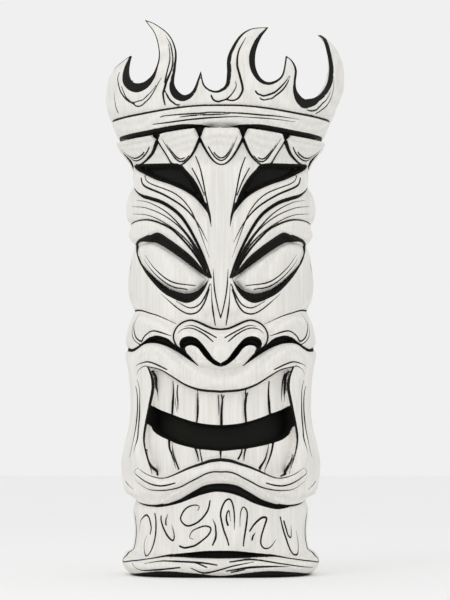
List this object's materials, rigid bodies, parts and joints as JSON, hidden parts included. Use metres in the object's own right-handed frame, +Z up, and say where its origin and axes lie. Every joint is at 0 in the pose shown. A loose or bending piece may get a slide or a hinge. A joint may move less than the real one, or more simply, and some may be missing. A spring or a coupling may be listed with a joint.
{
  "type": "tiki statue",
  "caption": "Carved wooden tiki statue: squared log with a grinning totem face, petal collar, headband and a crown of curling flames, standing on its foot rim.",
  "frame": {"origin": "centre of the flat underside, on the log's axis", "axes": "+Z up along the log, -Y the way the face looks, +X to the viewer's right when facing it"},
  "size_m": [0.288, 0.2537, 0.652],
  "materials": {
    "carved_wood": "pale limed wood, hand carved, with the hollows and cut lines stained black"
  },
  "bodies": {
    "root": {"tiki_statue": "carved_wood"}
  },
  "joints": []
}
